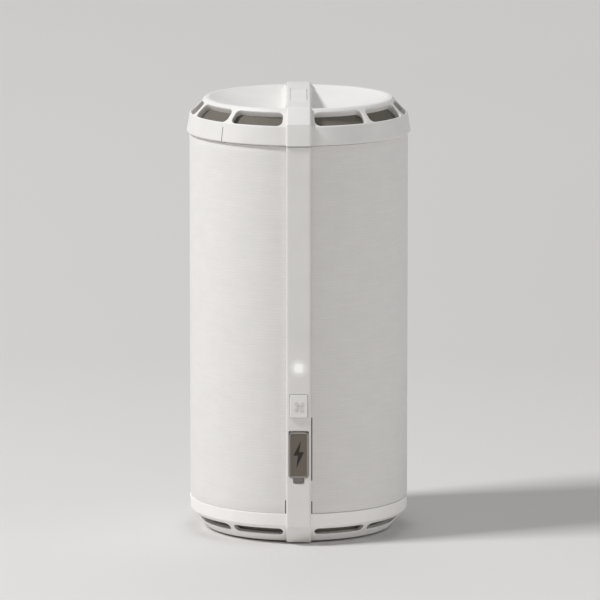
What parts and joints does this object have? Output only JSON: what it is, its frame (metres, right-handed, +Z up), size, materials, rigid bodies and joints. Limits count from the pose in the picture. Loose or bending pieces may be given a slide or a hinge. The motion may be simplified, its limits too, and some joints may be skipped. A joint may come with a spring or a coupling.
{
  "type": "air purifier",
  "caption": "Portable cylindrical air purifier with a fabric-covered body, slotted lower inlet ring, slotted lift-off lid and a lift-out pleated filter.",
  "frame": {"origin": "centre of the rubber foot's underside, on the surface that the purifier stands on", "axes": "+Z up through the lid, -Y towards the front with the indicator, button and socket cover, +X to the viewer's right"},
  "size_m": [0.0924, 0.096, 0.1803],
  "materials": {
    "white_shell": "matte",
    "white_satin": "satin",
    "woven_cover": "woven",
    "screw_steel": "satin",
    "dark_mesh": "matte",
    "dark_rubber": "matte",
    "magnet": "polished",
    "black_plastic": "satin",
    "taupe_rubber": "matte",
    "socket_steel": "satin",
    "lens_white": "gloss",
    "board_green": "gloss",
    "connector_cream": "satin",
    "cell_wrap": "gloss",
    "nickel": "satin",
    "lead_red": "satin",
    "lead_black": "satin",
    "fan_grey": "satin",
    "copper": "enamelled wire",
    "filter_paper": "matte",
    "carbon": "granular",
    "filter_net": "open net",
    "filter_cap": "matte",
    "strap_blue": "satin",
    "pad_white": "satin"
  },
  "bodies": {
    "housing": {"body_shell": "white_shell", "fabric_left": "woven_cover", "fabric_right": "woven_cover", "front_spine": "white_satin", "rear_spine": "white_satin", "fan_shelf": "white_shell", "spine_screws": "screw_steel", "inlet_ring": "white_shell", "inlet_screen": "dark_mesh", "base_plate": "white_shell", "base_screws": "screw_steel", "rubber_foot": "dark_rubber", "neck_ring": "white_shell", "neck_magnets": "magnet", "button_pin": "screw_steel", "button_switch": "black_plastic", "cover_pin": "screw_steel", "charging_socket": "socket_steel", "socket_tongue": "black_plastic", "indicator_lens": "lens_white", "indicator_led": "lens_white", "main_board": "board_green", "board_rails": "white_shell", "board_chips": "black_plastic", "board_connectors": "connector_cream", "battery_cells": "cell_wrap", "battery_tray": "black_plastic", "battery_cap": "black_plastic", "battery_bolts": "screw_steel", "battery_contacts": "nickel", "battery_leads": "lead_red", "fan_frame": "black_plastic", "fan_seal": "dark_rubber", "fan_screws": "screw_steel", "stator_core": "socket_steel", "stator_coils": "copper", "fan_bearings": "socket_steel", "motor_board": "board_green", "motor_leads": "lead_black"},
    "filter": {"filter_pleats": "filter_paper", "carbon_core": "carbon", "filter_mesh": "filter_net", "filter_top_cap": "filter_cap", "filter_bottom_cap": "filter_cap", "filter_gasket": "dark_rubber", "filter_handle": "strap_blue"},
    "lid": {"lid_grille": "white_shell", "lid_magnets": "magnet", "lid_screen": "dark_mesh", "lid_dish": "white_shell", "lid_band": "white_satin", "grip_pad": "pad_white", "lid_screws": "screw_steel"},
    "rotor": {"impeller": "fan_grey", "rotor_magnet_ring": "magnet", "fan_shaft": "socket_steel"},
    "button": {"power_button": "white_satin"},
    "plunger": {"switch_plunger": "black_plastic"},
    "cover": {"socket_cover": "taupe_rubber"}
  },
  "joints": [
    {"name": "filter_lift", "type": "slide", "parent": "housing", "child": "filter", "axis": [0, 0, 1], "range_m": [0, 0.062]},
    {"name": "lid_lift", "type": "slide", "parent": "filter", "child": "lid", "axis": [0, 0, 1], "range_m": [0, 0.03]},
    {"name": "fan_spin", "type": "hinge", "parent": "housing", "child": "rotor", "pos_m": [0, 0, 0.09], "axis": [0, 0, 1], "continuous": true},
    {"name": "button_press", "type": "hinge", "parent": "housing", "child": "button", "pos_m": [0, -0.0457, 0.0625], "axis": [1, 0, 0], "range_deg": [0, 4], "stiffness_Nm_per_rad": 0.02},
    {"name": "switch_travel", "type": "slide", "parent": "housing", "child": "plunger", "axis": [0, 1, 0], "range_m": [0, 0.00042]},
    {"name": "cover_swing", "type": "hinge", "parent": "housing", "child": "cover", "pos_m": [0, -0.04645, 0.0471], "axis": [-1, 0, 0], "range_deg": [0, 100]}
  ],
  "couplings": [
    {"joint": "switch_travel", "follows": "button_press", "m_per_rad": 0.006}
  ]
}
